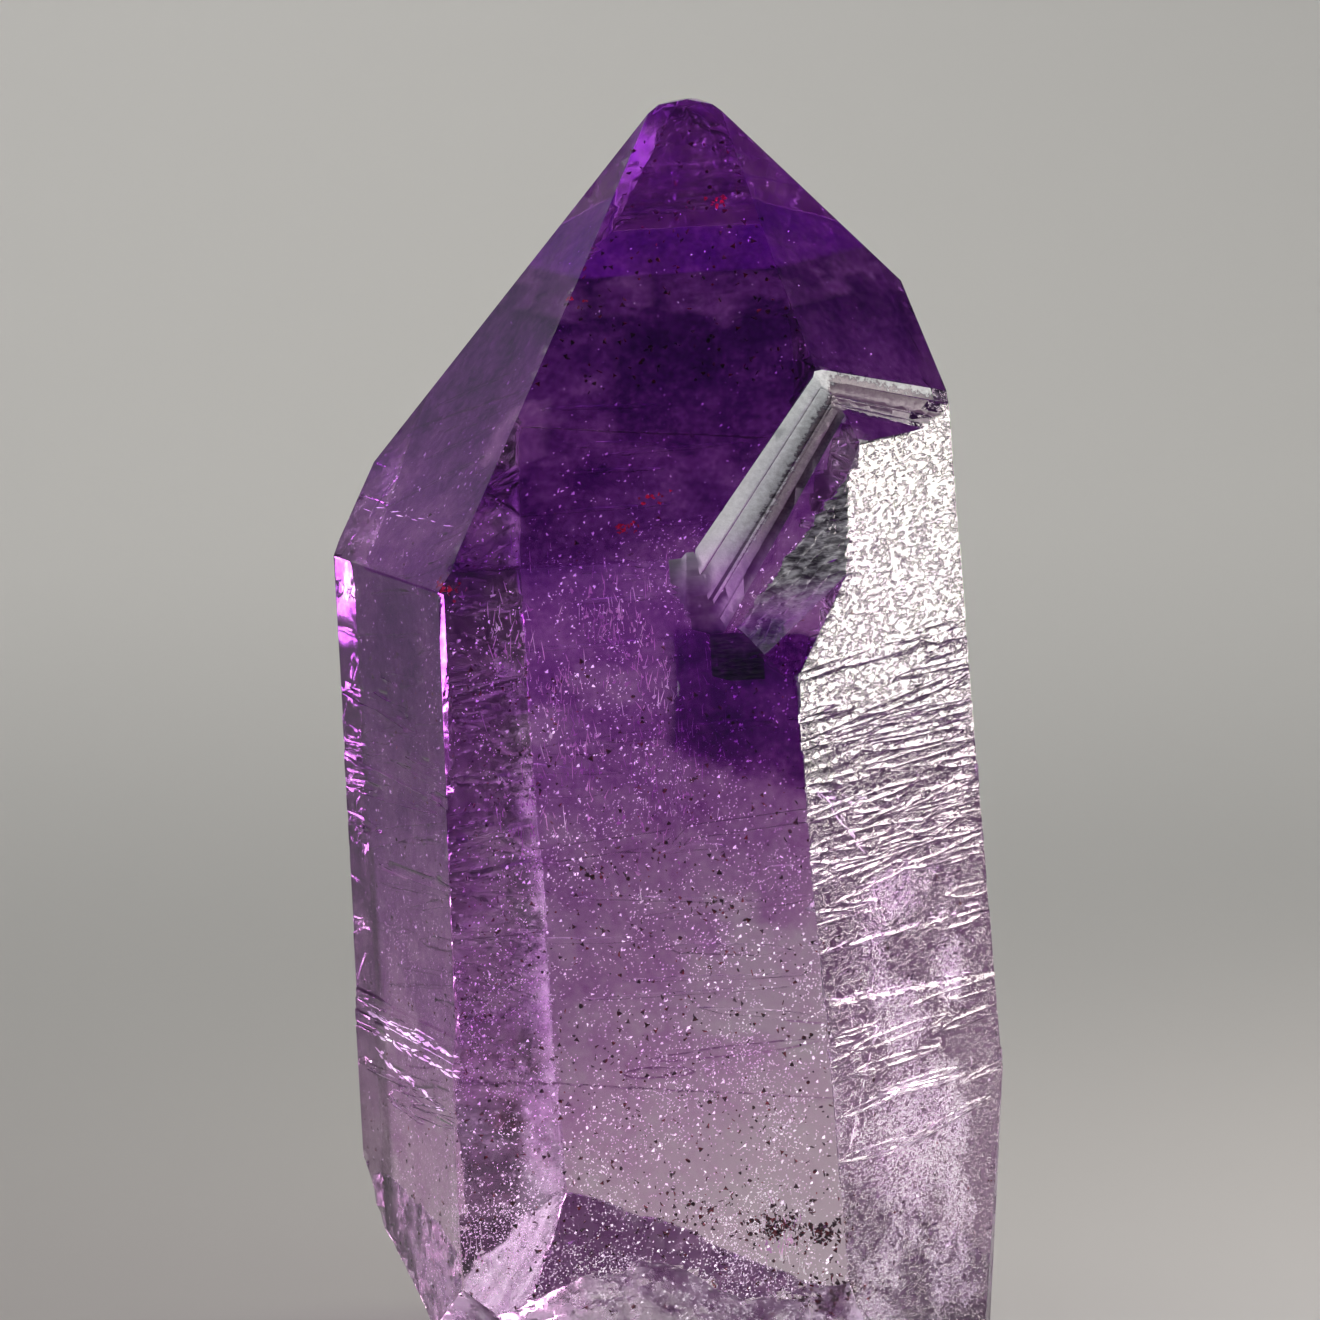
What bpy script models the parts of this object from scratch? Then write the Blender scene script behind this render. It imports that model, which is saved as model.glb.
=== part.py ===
import math
import random

import bmesh
import bpy
from mathutils import Vector, noise

# Twinned amethyst point: one quartz crystal with two terminations on a shared prism.
# The crystal is laid out in millimetres with the long axis on Z and the front face
# toward -Y, then set down with the middle of its footprint at the origin, in metres.

# A face is (azimuth, inclination of its outward normal from +Z, distance from the axis
# point). Prism faces lean a little because growth ledges taper the column.
PRISM_FRONT = (270.0, 90.5, 13.0)
PRISM_RIGHT = (330.0, 89.75, 13.9)
PRISM_BACK_RIGHT = (30.0, 89.5, 13.35)
PRISM_BACK = (90.0, 89.6, 14.5)
PRISM_BACK_LEFT = (150.0, 89.85, 13.7)
PRISM_LEFT = (210.0, 88.5, 14.55)

# Rhombohedral faces of the taller point.
POINT_FRONT = (270.0, 51.6, 14.66)
POINT_FRONT_UPPER = (270.0, 50.0, 15.05)
POINT_RIGHT = (329.5, 52.2, 18.5)
POINT_BACK_RIGHT = (30.3, 50.7, 21.4)
POINT_BACK = (90.0, 51.8, 21.2)
POINT_BACK_LEFT = (150.2, 52.5, 17.05)
POINT_LEFT = (209.9, 51.4, 15.05)
POINT_LEFT_FOOT = (210.4, 57.5, 15.24)

# The worn tip: blunt facets that lean to the left, the right and the back.
TIP_FACETS = ((180.0, 7.0, 27.08), (0.0, 13.0, 27.58), (90.0, 24.0, 26.95))

# The lower, twinned point: its own faces, and the ledge planes that bound it.
TWIN_FRONT = (272.0, 56.6, 12.74)
TWIN_RIGHT = (331.5, 51.6, 17.82)
TWIN_PRISM_FRONT = (270.0, 89.7, 12.90)
LEDGE_LEFT = (309.6, 82.8, 13.18)
LEDGE_RIGHT = (320.0, 80.3, 14.07)
# The ledge goes down in treads: share of the whole drop, and how far in it stands.
LEDGE_TREADS = ((0.31, -0.03), (0.62, 0.02), (0.67, 0.16), (0.84, 0.19), (1.0, 0.23))
# Suture between the two front prism faces, and the one on the back right prism face.
SUTURE_FRONT = (315.0, 94.6, 10.88)
SUTURE_BACK = (345.0, 88.0, 15.55)
TWIN_PRISM_BACK = (30.0, 88.4, 13.27)

# The etched step below the twin's front face.
ETCH_FLOOR = (273.0, 48.5, 10.55)
ETCH_WALL = (305.5, 85.6, 13.80)
ETCH_RIDGE_HEIGHT = 0.30
ETCH_RIDGE_COUNT = 9.0
ETCH_RIDGE_LEAN = 2.5
ETCH_GRID = (50, 42)
# The wall's lower end and length along its foot, its height, and how far its cutter reaches.
ETCH_LOWER_END = 3.9
ETCH_LENGTH = 12.8
ETCH_HEIGHT = 5.2
ETCH_CUT_REACH = 14.0
ETCH_BEVEL_TOP = 2.2
ETCH_BEVEL = (300.0, 85.5, 15.234)

# The base: cut flat where the crystal was rooted, with broken sides above the cut.
BASE_LEVEL = -35.5
CLEAN_BREAKS = ((238.0, 124.0, 29.6), (2.0, 97.0, 18.35), (318.0, 128.0, 31.3))
# Rough breaks: the mean plane, and how far the conchoidal lumps rise and fall.
ROUGH_BREAK_FRONT = (270.0, 113.7, 23.35)
ROUGH_BREAK_LEFT = (190.0, 111.0, 24.50)
ROUGH_BREAK_BACK = (104.0, 121.0, 28.3)
LUMP_HEIGHT = 0.7
LUMP_FREQUENCY = 0.42
SCALLOP_FREQUENCY = 0.45
SCALLOP_PHASE = 3.9
BREAK_CUT_REACH = 9.0

# Growth ledges that run right across a prism face: face, level at the face's left and
# right edge as seen from outside, and how deep the face steps in above the ledge.
GROWTH_LEDGES = (
    (PRISM_LEFT, -17.2, -17.9, 0.07),
    (PRISM_LEFT, -16.7, -17.2, 0.14),
    (PRISM_LEFT, -16.3, -16.7, 0.19),
    (PRISM_LEFT, -4.4, -5.2, 0.23),
    (PRISM_RIGHT, -15.3, -16.8, 0.06),
    (PRISM_RIGHT, -12.8, -13.5, 0.12),
    (PRISM_RIGHT, -10.9, -9.6, 0.16),
    (PRISM_RIGHT, -2.7, -2.9, 0.20),
    (PRISM_BACK_RIGHT, -20.5, -19.2, 0.10),
    (PRISM_BACK_RIGHT, -6.0, -7.4, 0.18),
    (PRISM_BACK_RIGHT, 5.2, 4.6, 0.24),
    (PRISM_BACK, -24.0, -22.4, 0.09),
    (PRISM_BACK, -9.5, -11.2, 0.17),
    (PRISM_BACK, -8.9, -10.4, 0.23),
    (PRISM_BACK, 3.4, 5.1, 0.30),
    (PRISM_BACK_LEFT, -14.4, -13.1, 0.10),
    (PRISM_BACK_LEFT, -1.2, -2.0, 0.17),
)
LEDGE_SLOPE = 40.0
FACE_HALF_WIDTH = 8.0

# Shallow growth plates scattered in a band of a face: face, half width, lower and upper
# level, how many, greatest depth.
PLATE_BANDS = (
    (PRISM_RIGHT, 7.6, -11.0, 1.0, 46, 0.07),
    (PRISM_RIGHT, 7.6, -24.0, -11.0, 24, 0.06),
    (PRISM_LEFT, 7.0, -21.5, -16.0, 14, 0.07),
    (PRISM_LEFT, 7.0, -13.0, 2.0, 12, 0.05),
    (PRISM_BACK_RIGHT, 7.4, -24.0, 12.0, 22, 0.06),
    (PRISM_BACK, 7.0, -24.0, 8.0, 22, 0.06),
    (PRISM_BACK_LEFT, 7.2, -22.0, 4.0, 20, 0.06),
)
GROWTH_SLANT = 0.06
PLATE_LENGTHS = (3.0, 11.0)
PLATE_HEIGHTS = (0.16, 0.6)
PLATE_SHOULDER = 0.28
PLATE_OVERREACH = 0.3
PLATE_SIDE_SLOPE = 0.7

# Conchoidal chips along edges: centre and radius of each bite.
CHIPS = (
    (-17.35, -0.75, -24.9, 1.05),
    (-17.05, -0.55, -8.6, 0.95),
    (-9.2, -13.95, -24.1, 1.05),
    (9.15, -14.0, -17.7, 1.0),
    (16.75, -0.1, -19.2, 0.95),
    (8.1, 14.9, -14.2, 1.2),
    (-8.3, 15.3, -3.5, 1.3),
    (14.5, 5.0, 15.9, 1.1),
    (-9.9, 10.9, 13.9, 1.2),
)

CHIP_STRETCH = 1.35
CHIP_SWELL = 0.16

MERGE_DISTANCE = 0.0005
FLAT_ANGLE = 0.02
AMETHYST_COLOUR = (0.23, 0.09, 0.40, 1.0)
AMETHYST_ROUGHNESS = 0.06
QUARTZ_IOR = 1.544
REACH = 60.0
SEED = 41


# Geometry helpers

def normal(azimuth, inclination):
    """Outward normal of a face from its azimuth and inclination in degrees."""
    a = math.radians(azimuth)
    i = math.radians(inclination)
    return Vector((math.sin(i) * math.cos(a), math.sin(i) * math.sin(a), math.cos(i)))


def face_axes(face):
    """Normal, horizontal direction to the right seen from outside, and upward direction."""
    out = normal(face[0], face[1])
    across = Vector((0.0, 0.0, 1.0)).cross(out).normalized()
    return out, across, out.cross(across)


def shifted(face, distance):
    return (face[0], face[1], face[2] + distance)


def between(first, second, share):
    return tuple(a + (b - a) * share for a, b in zip(first, second))


def trim(bm, out, distance):
    """Cut a closed convex mesh with a plane and keep the side behind it."""
    geometry = bm.verts[:] + bm.edges[:] + bm.faces[:]
    cut = bmesh.ops.bisect_plane(
        bm,
        geom=geometry,
        dist=1e-6,
        plane_co=out * distance,
        plane_no=out,
        clear_outer=True,
    )
    rim = [e for e in cut["geom_cut"] if isinstance(e, bmesh.types.BMEdge) and e.is_boundary]
    if rim:
        bmesh.ops.edgeloop_fill(bm, edges=rim)


def convex_body(faces):
    """Closed convex body behind every one of the given planes."""
    bm = bmesh.new()
    bmesh.ops.create_cube(bm, size=2.0 * REACH)
    for out, distance in faces:
        trim(bm, out, distance)
    bmesh.ops.recalc_face_normals(bm, faces=bm.faces[:])
    return bm


def hull(points):
    """Closed convex hull of a few points."""
    bm = bmesh.new()
    for point in points:
        bm.verts.new(point)
    bmesh.ops.convex_hull(bm, input=bm.verts[:])
    bmesh.ops.recalc_face_normals(bm, faces=bm.faces[:])
    return bm


def behind(face):
    return normal(face[0], face[1]), face[2]


def beyond(face):
    return -normal(face[0], face[1]), -face[2]


def relief_body(corner, across, up, outward, columns, rows, height):
    """Closed block whose inner side is a rippled surface.

    The surface starts at the corner, spans the two side vectors, and is displaced
    along the outward vector by height(u, v); the block reaches out from it.
    """
    bm = bmesh.new()
    direction = outward.normalized()
    inner = []
    outer = []
    for row in range(rows + 1):
        v = row / rows
        inner_row = []
        outer_row = []
        for column in range(columns + 1):
            u = column / columns
            point = corner + across * u + up * v
            inner_row.append(bm.verts.new(point + direction * height(u, v)))
            outer_row.append(bm.verts.new(point + outward))
        inner.append(inner_row)
        outer.append(outer_row)
    for row in range(rows):
        for column in range(columns):
            a = inner[row][column]
            b = inner[row][column + 1]
            c = inner[row + 1][column + 1]
            d = inner[row + 1][column]
            if (row + column) % 2:
                bm.faces.new((a, b, c))
                bm.faces.new((a, c, d))
            else:
                bm.faces.new((a, b, d))
                bm.faces.new((b, c, d))
            bm.faces.new(
                (
                    outer[row][column],
                    outer[row + 1][column],
                    outer[row + 1][column + 1],
                    outer[row][column + 1],
                )
            )
    for column in range(columns):
        bm.faces.new((inner[0][column], outer[0][column], outer[0][column + 1], inner[0][column + 1]))
        bm.faces.new(
            (inner[rows][column], inner[rows][column + 1], outer[rows][column + 1], outer[rows][column])
        )
    for row in range(rows):
        bm.faces.new((inner[row][0], inner[row + 1][0], outer[row + 1][0], outer[row][0]))
        bm.faces.new(
            (inner[row][columns], outer[row][columns], outer[row + 1][columns], inner[row + 1][columns])
        )
    bmesh.ops.recalc_face_normals(bm, faces=bm.faces[:])
    return bm


def add_object(name, bm):
    mesh = bpy.data.meshes.new(name)
    bm.to_mesh(mesh)
    bm.free()
    obj = bpy.data.objects.new(name, mesh)
    bpy.context.collection.objects.link(obj)
    return obj


def carve(body, cutter_bodies):
    """Subtract each closed cutter from the body in turn, then put the result in place."""
    cutters = []
    for index, bm in enumerate(cutter_bodies):
        cutter = add_object("cutter_%03d" % index, bm)
        cutter.hide_render = True
        cutter.display_type = "WIRE"
        cutters.append(cutter)
        modifier = body.modifiers.new("cut_%03d" % index, "BOOLEAN")
        modifier.operation = "DIFFERENCE"
        modifier.solver = "EXACT"
        modifier.object = cutter
    graph = bpy.context.evaluated_depsgraph_get()
    carved = bpy.data.meshes.new_from_object(body.evaluated_get(graph))
    body.modifiers.clear()
    body.data = carved
    for cutter in cutters:
        bpy.data.objects.remove(cutter)


# Cutters for each kind of surface feature

def twin_cutters():
    """Step the twinned point down behind its ledge, in treads, and set back its prism."""
    bodies = []
    for share, inset in LEDGE_TREADS:
        front = beyond(between(POINT_FRONT, TWIN_FRONT, share))
        right = beyond(between(POINT_RIGHT, TWIN_RIGHT, share))
        bodies.append(convex_body([beyond(shifted(LEDGE_LEFT, inset)), front]))
        bodies.append(convex_body([beyond(shifted(LEDGE_RIGHT, inset)), right]))
    bodies.append(convex_body([beyond(SUTURE_FRONT), beyond(TWIN_PRISM_FRONT)]))
    bodies.append(convex_body([beyond(SUTURE_BACK), beyond(TWIN_PRISM_BACK)]))
    return bodies


def etch_cutters():
    """Wall of slanting etch ridges that drops to a lower floor, and the bevel below it."""
    floor_out = normal(ETCH_FLOOR[0], ETCH_FLOOR[1])
    wall_out = normal(ETCH_WALL[0], ETCH_WALL[1])
    along = wall_out.cross(floor_out).normalized()
    if along.z < 0.0:
        along = -along
    outward = floor_out.cross(along).normalized()
    if outward.dot(wall_out) < 0.0:
        outward = -outward
    up = along.cross(wall_out).normalized()
    if up.z < 0.0:
        up = -up
    # A point on both planes, straight out from the axis.
    middle = Vector((9.0, -10.5, 4.5))
    for _ in range(40):
        middle -= floor_out * (middle.dot(floor_out) - ETCH_FLOOR[2])
        middle -= wall_out * (middle.dot(wall_out) - ETCH_WALL[2])

    def ridges(u, v):
        # Crests run along the wall like ripples, wander, and break off one another.
        wander = noise.noise(Vector((u * 7.0, v * 2.0, 3.1))) * 1.3
        phase = (v * ETCH_RIDGE_COUNT + u * ETCH_RIDGE_LEAN + wander) % 1.0
        crest = phase / 0.65 if phase < 0.65 else (1.0 - phase) / 0.35
        broken = 0.75 + 0.7 * noise.noise(Vector((u * 13.0, v * 5.0, 9.7)))
        fade = min(1.0, v * 9.0)
        return ETCH_RIDGE_HEIGHT * (0.4 - crest * broken) * fade

    corner = middle - along * ETCH_LOWER_END
    wall = relief_body(
        corner, along * ETCH_LENGTH, up * ETCH_HEIGHT, outward * ETCH_CUT_REACH, *ETCH_GRID, ridges
    )
    return [wall, convex_body([beyond(ETCH_BEVEL), (normal(0.0, 0.0), ETCH_BEVEL_TOP)])]


def ledge_cutter(face, left_level, right_level, depth):
    """Everything outside a face set in by depth, above a slanting sloped riser."""
    out, across, up = face_axes(face)
    line = (across * (2.0 * FACE_HALF_WIDTH) + up * (right_level - left_level)).normalized()
    rise = out.cross(line).normalized()
    slope = math.radians(LEDGE_SLOPE)
    riser = rise * math.cos(slope) + out * math.sin(slope)
    foot = out * face[2] - across * FACE_HALF_WIDTH + up * left_level
    return convex_body([(-out, depth - face[2]), (-riser, -riser.dot(foot))])


def plate_cutter(face, left, right, low, high, skew, depth):
    """Shallow flat-bottomed recess with pointed ends and sloping sides, lying in a face."""
    out, across, up = face_axes(face)
    middle = 0.5 * (low + high)
    shoulder = PLATE_SHOULDER * (right - left)
    outline = (
        (left, middle), (left + shoulder, low), (right - 0.6 * shoulder, low),
        (right, middle), (right - shoulder, high), (left + 0.6 * shoulder, high),
    )
    points = []
    for lift, grow in ((PLATE_OVERREACH, 1.0), (-depth, 0.0)):
        margin = 1.0 + grow * (PLATE_OVERREACH + depth) * PLATE_SIDE_SLOPE / (high - low)
        for a, v in outline:
            stretch = 0.5 * (left + right) + (a - 0.5 * (left + right)) * (1.0 + 0.12 * grow)
            level = middle + (v - middle) * margin
            points.append(out * (face[2] + lift) + across * stretch + up * (level + skew * a))
    return hull(points)


def stand_in(face, level):
    """How far the growth ledges below a level have already set the face in."""
    depths = [ledge[3] for ledge in GROWTH_LEDGES if ledge[0] == face and max(ledge[1:3]) < level]
    return max(depths, default=0.0)


def plate_cutters(rng):
    bodies = []
    for face, half, low, high, count, depth in PLATE_BANDS:
        for _ in range(count):
            length = rng.uniform(*PLATE_LENGTHS)
            centre = rng.uniform(-half, half)
            level = rng.uniform(low, high)
            tall = rng.uniform(*PLATE_HEIGHTS)
            skew = rng.gauss(0.0, GROWTH_SLANT)
            sunk = rng.uniform(0.4, 1.0) * depth
            left = centre - 0.5 * length
            right = centre + 0.5 * length
            sunk += stand_in(face, level)
            bodies.append(plate_cutter(face, left, right, level, level + tall, skew, sunk))
    return bodies


def chip_cutters():
    bodies = []
    for x, y, z, radius in CHIPS:
        bm = bmesh.new()
        bmesh.ops.create_icosphere(bm, subdivisions=2, radius=radius)
        for vert in bm.verts:
            swell = 1.0 + CHIP_SWELL * noise.noise(vert.co * 1.3 + Vector((x, y, z)))
            vert.co = Vector((vert.co.x, vert.co.y, vert.co.z * CHIP_STRETCH)) * swell
            vert.co += Vector((x, y, z))
        bodies.append(bm)
    return bodies


def rough_break(face, level, half_width, half_height, columns, rows, seed_place, scallop):
    """Block that takes the crystal away down to a lumpy surface along a mean plane."""
    out, across, up = face_axes(face)
    middle = out * face[2] + up * (level - out.z * face[2]) / up.z
    corner = middle - across * half_width - up * half_height

    def lumps(u, v):
        place = Vector((u * half_width, v * half_height, 0.0)) * LUMP_FREQUENCY + seed_place
        broad = noise.noise(place)
        fine = abs(noise.noise(place * 3.3)) - 0.25
        wave = math.cos((2.0 * u - 1.0) * half_width * SCALLOP_FREQUENCY + SCALLOP_PHASE)
        return LUMP_HEIGHT * (0.75 * broad + 0.55 * fine) + scallop * wave

    return relief_body(
        corner, across * 2.0 * half_width, up * 2.0 * half_height, out * BREAK_CUT_REACH,
        columns, rows, lumps,
    )


def root_cutters():
    return [
        rough_break(ROUGH_BREAK_FRONT, -32.0, 15.0, 7.0, 40, 18, Vector((1.7, 4.2, 0.6)), 0.28),
        rough_break(ROUGH_BREAK_LEFT, -30.0, 14.0, 8.5, 30, 18, Vector((8.3, 0.4, 2.9)), 0.0),
        rough_break(ROUGH_BREAK_BACK, -33.0, 15.0, 7.0, 30, 14, Vector((3.1, 7.7, 5.2)), 0.1),
    ]


# Build the crystal

for old in list(bpy.data.objects):
    bpy.data.objects.remove(old)

rng = random.Random(SEED)
outer_faces = [
    PRISM_FRONT, PRISM_RIGHT, PRISM_BACK_RIGHT, PRISM_BACK, PRISM_BACK_LEFT, PRISM_LEFT,
    POINT_FRONT, POINT_FRONT_UPPER, POINT_RIGHT, POINT_BACK_RIGHT, POINT_BACK,
    POINT_BACK_LEFT, POINT_LEFT, POINT_LEFT_FOOT,
]
outer_faces += list(TIP_FACETS) + list(CLEAN_BREAKS)
outer_planes = [behind(face) for face in outer_faces]
outer_planes.append((Vector((0.0, 0.0, -1.0)), -BASE_LEVEL))

crystal = add_object("twin_crystal", convex_body(outer_planes))
carve(crystal, [ledge_cutter(*ledge) for ledge in GROWTH_LEDGES])
carve(crystal, plate_cutters(rng))
carve(crystal, twin_cutters())
carve(crystal, etch_cutters())
carve(crystal, chip_cutters() + root_cutters())

# Join coplanar pieces, set the crystal down on its base and convert to metres
bm = bmesh.new()
bm.from_mesh(crystal.data)
bmesh.ops.remove_doubles(bm, verts=bm.verts[:], dist=MERGE_DISTANCE)
bmesh.ops.dissolve_degenerate(bm, edges=bm.edges[:], dist=MERGE_DISTANCE)
bmesh.ops.dissolve_limit(bm, angle_limit=math.radians(FLAT_ANGLE), verts=bm.verts[:], edges=bm.edges[:])
bmesh.ops.triangulate(bm, faces=[f for f in bm.faces if len(f.verts) > 4])
xs = [vert.co.x for vert in bm.verts]
ys = [vert.co.y for vert in bm.verts]
zs = [vert.co.z for vert in bm.verts]
seat = Vector((0.5 * (min(xs) + max(xs)), 0.5 * (min(ys) + max(ys)), min(zs)))
for vert in bm.verts:
    vert.co = (vert.co - seat) * 0.001
bm.to_mesh(crystal.data)
bm.free()
for polygon in crystal.data.polygons:
    polygon.use_smooth = False

amethyst = bpy.data.materials.new("amethyst")
amethyst.use_nodes = True
shader = amethyst.node_tree.nodes["Principled BSDF"]
shader.inputs["Base Color"].default_value = AMETHYST_COLOUR
shader.inputs["Roughness"].default_value = AMETHYST_ROUGHNESS
shader.inputs["Metallic"].default_value = 0.0
shader.inputs["IOR"].default_value = QUARTZ_IOR
shader.inputs["Transmission Weight"].default_value = 1.0
amethyst.diffuse_color = AMETHYST_COLOUR
crystal.data.materials.clear()
crystal.data.materials.append(amethyst)
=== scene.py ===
import math
import random

import bmesh
import bpy
from mathutils import Matrix, Vector, noise


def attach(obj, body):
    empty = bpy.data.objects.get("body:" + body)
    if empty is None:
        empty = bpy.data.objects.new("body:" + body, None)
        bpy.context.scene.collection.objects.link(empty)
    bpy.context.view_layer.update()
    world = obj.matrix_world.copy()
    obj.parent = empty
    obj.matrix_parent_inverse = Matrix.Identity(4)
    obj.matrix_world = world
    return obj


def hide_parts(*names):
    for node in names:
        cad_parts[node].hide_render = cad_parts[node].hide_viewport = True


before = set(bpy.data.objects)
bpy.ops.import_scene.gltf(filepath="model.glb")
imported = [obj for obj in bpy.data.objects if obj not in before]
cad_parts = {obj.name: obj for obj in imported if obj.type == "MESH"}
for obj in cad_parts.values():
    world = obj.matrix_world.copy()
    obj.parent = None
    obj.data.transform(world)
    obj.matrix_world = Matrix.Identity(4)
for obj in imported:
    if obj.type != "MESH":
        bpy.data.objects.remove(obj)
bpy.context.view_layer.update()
MM = 0.001

# Crystal. One natural quartz point with a lower twin point, grown as a single piece:
# clear amethyst, deep violet at the tip and pale at the root. Its mesh is the CAD solid
# cut finer, with the growth striations, the satin ledge and the broken root worked in.

# Sizes are in millimetres. The faces are measured from this point inside the crystal.
CENTRE = Vector((0.4134, -0.8394, 35.5))


def outward(azimuth, inclination):
    a = math.radians(azimuth)
    i = math.radians(inclination)
    return Vector((math.sin(i) * math.cos(a), math.sin(i) * math.sin(a), math.cos(i)))


def face_plane(azimuth, inclination, distance):
    """Outward normal of a face, and its distance from the origin."""
    out = outward(azimuth, inclination)
    return out, distance + out.dot(CENTRE)


PRISM_FRONT = face_plane(270.0, 90.5, 13.0)
PRISM_RIGHT = face_plane(330.0, 89.75, 13.9)
PRISM_LEFT = face_plane(210.0, 88.5, 14.55)
PRISM_FACES = (
    PRISM_FRONT, PRISM_RIGHT, face_plane(30.0, 89.5, 13.35), face_plane(90.0, 89.6, 14.5),
    face_plane(150.0, 89.85, 13.7), PRISM_LEFT,
)
POINT_FRONT = face_plane(270.0, 51.6, 14.66)
POINT_RIGHT = face_plane(329.5, 52.2, 18.5)
POINT_LEFT = face_plane(210.0, 51.8, 15.0)
TWIN_FRONT = face_plane(272.0, 56.6, 12.74)
TWIN_RIGHT = face_plane(331.5, 51.6, 17.82)
LEDGE_LEFT = face_plane(309.6, 82.8, 13.18)
LEDGE_RIGHT = face_plane(320.0, 80.3, 14.07)
ETCH_WALL = face_plane(305.5, 85.6, 13.80)
ETCH_FLOOR = face_plane(273.0, 48.5, 10.55)

# How finely the faces are cut, and between which levels.
SLICE_LOW = 1.0
SLICE_HIGH = 62.0
SLICE_SIDE = 17.0
SLICE_UPRIGHT = 0.26
SLICE_ACROSS = 0.85
LEDGE_SLICE = 0.09
LEDGE_RUN_SLICE = 1.1
SLICE_SNAP = 2e-6
MERGE_DISTANCE = 1e-7
FLAT_ANGLE = math.radians(0.03)
SHARP_ANGLE = math.radians(14.0)
# A face lies in a plane where it faces the same way and its gap from the plane is small.
SAME_WAY = 0.97
VERY_SAME_WAY = 0.99
PLANE_GAP = 0.5
FAR_OFF = 9.0
# It stands proud of a plane, or behind it, by more than this.
STAND_OFF = 0.03
LYING_FLAT = 0.7
LEDGE_LOW = 34.0
ETCH_REACH = 0.6
# Corners whose faces turn more than this are left where they are, as is all near the foot.
SMOOTH_TURN = 0.985
FOOT_KEPT = 0.3
LEDGE_REACH = 0.75
ROOT_REACH = 16.0
# Depths of the relief: hillocks of the point faces, growth lines of the prism faces,
# grooves of the ledge and ripples of the broken root.
POINT_SLOPE = 0.25
HILLOCK_DEPTH = 0.010
RIGHT_FINE, RIGHT_FINEST, RIGHT_COARSE = 0.006, 0.012, 0.007
FRONT_FINE, FRONT_COARSE = 0.002, 0.004
SIDE_FINE, SIDE_COARSE = 0.003, 0.006
GROOVE_DEPTH = 0.030
RIPPLE_DEPTH = 0.05
UP = Vector((0.0, 0.0, 1.0))
POLISHED, SATIN, ETCHED, BROKEN, STRIATED = range(5)


def above(plane, point):
    return plane[0].dot(point) - plane[1]


def slice_faces(bm, faces, direction, cuts):
    """Cut the faces with parallel planes, halving the set each time; returns the new faces."""
    if not cuts or not faces:
        return faces
    middle = len(cuts) // 2
    level = cuts[middle]
    touched = set()
    for face in faces:
        touched.add(face)
        touched.update(face.edges)
        touched.update(face.verts)
    made = bmesh.ops.bisect_plane(
        bm, geom=list(touched), dist=SLICE_SNAP, plane_co=direction * level, plane_no=direction
    )
    low = []
    high = []
    for item in made["geom"]:
        if isinstance(item, bmesh.types.BMFace):
            side = low if item.calc_center_median().dot(direction) < level else high
            side.append(item)
    low = slice_faces(bm, low, direction, cuts[:middle])
    high = slice_faces(bm, high, direction, cuts[middle + 1:])
    return low + high


def spaced(low, high, step):
    count = int((high - low) / step)
    return [low + step * (index + 0.5) for index in range(count)]


def region_of(face):
    """Kind of surface that a face of the crystal belongs to."""
    centre = face.calc_center_median() / MM
    prism_gap = min(
        abs(above(plane, centre)) if face.normal.dot(plane[0]) > SAME_WAY else FAR_OFF
        for plane in PRISM_FACES
    )
    if centre.z < ROOT_REACH and prism_gap > PLANE_GAP:
        return BROKEN
    if abs(above(PRISM_RIGHT, centre)) < PLANE_GAP and face.normal.dot(PRISM_RIGHT[0]) > SAME_WAY:
        return STRIATED
    below_point = max(above(POINT_FRONT, centre), above(POINT_RIGHT, centre)) < -STAND_OFF
    if centre.z < LEDGE_LOW or not below_point or abs(face.normal.z) > LYING_FLAT:
        return POLISHED
    over_twin = max(above(TWIN_FRONT, centre), above(TWIN_RIGHT, centre)) > STAND_OFF
    near_ledge = min(abs(above(LEDGE_LEFT, centre)), abs(above(LEDGE_RIGHT, centre))) < LEDGE_REACH
    if over_twin and near_ledge:
        return SATIN
    over_floor = above(ETCH_FLOOR, centre) > STAND_OFF
    below_twin = above(TWIN_FRONT, centre) < -STAND_OFF
    if over_floor and below_twin and abs(above(ETCH_WALL, centre)) < ETCH_REACH:
        return ETCHED
    return POLISHED


def relief(point, normal):
    """How far a polished face is worked in at a point."""
    across = UP.cross(normal)
    if normal.z > POINT_SLOPE:
        hillock = noise.noise(point * 0.22) + 0.5 * noise.noise(point * 0.7)
        return HILLOCK_DEPTH * (1.0 + hillock)
    u = point.dot(across)
    wander = 0.3 * noise.noise(Vector((u * 0.16, point.z * 0.10, 4.0)))
    level = point.z - 0.12 * u + wander
    fine = noise.noise(Vector((u * 0.22, level * 2.3, 1.0)))
    coarse = noise.noise(Vector((u * 0.09, level * 0.6, 7.0)))
    if normal.dot(PRISM_RIGHT[0]) > VERY_SAME_WAY:
        finest = noise.noise(Vector((u * 0.9, level * 3.7, 3.0)))
        patchy = 0.7 + noise.noise(Vector((u * 0.3, level * 0.3, 11.0)))
        lines = RIGHT_FINE * (1.0 + fine) + RIGHT_FINEST * (1.0 + finest) * patchy
        return lines + RIGHT_COARSE * (1.0 + coarse)
    if normal.dot(PRISM_FRONT[0]) > VERY_SAME_WAY:
        return FRONT_FINE * (1.0 + fine) + FRONT_COARSE * (1.0 + coarse)
    return SIDE_FINE * (1.0 + fine) + SIDE_COARSE * (1.0 + coarse)


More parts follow.
